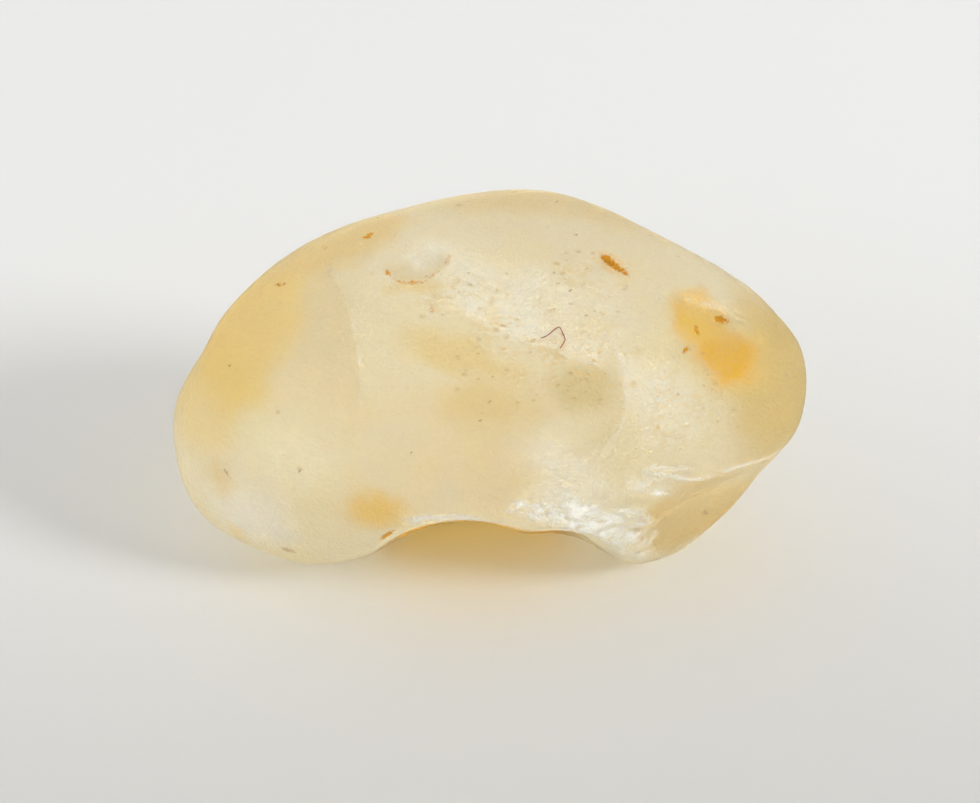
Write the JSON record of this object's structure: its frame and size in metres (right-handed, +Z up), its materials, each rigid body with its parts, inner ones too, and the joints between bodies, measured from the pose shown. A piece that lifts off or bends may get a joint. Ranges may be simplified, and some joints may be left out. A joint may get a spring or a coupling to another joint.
{
  "type": "rough sapphire",
  "caption": "Waterworn rough sapphire: a kidney-shaped, frosted, pale yellow pebble with orange iron stains, resting on the worn flats of its underside.",
  "frame": {"origin": "on the surface that the stone rests on, below the middle of its box", "axes": "+X along the stone's length, +Z up, -Y towards the side with the broad hollowed face, which leans back"},
  "size_m": [0.0139, 0.0076, 0.0079],
  "materials": {
    "frosted_corundum": "satin"
  },
  "bodies": {
    "root": {"rough_sapphire": "frosted_corundum"}
  },
  "joints": []
}
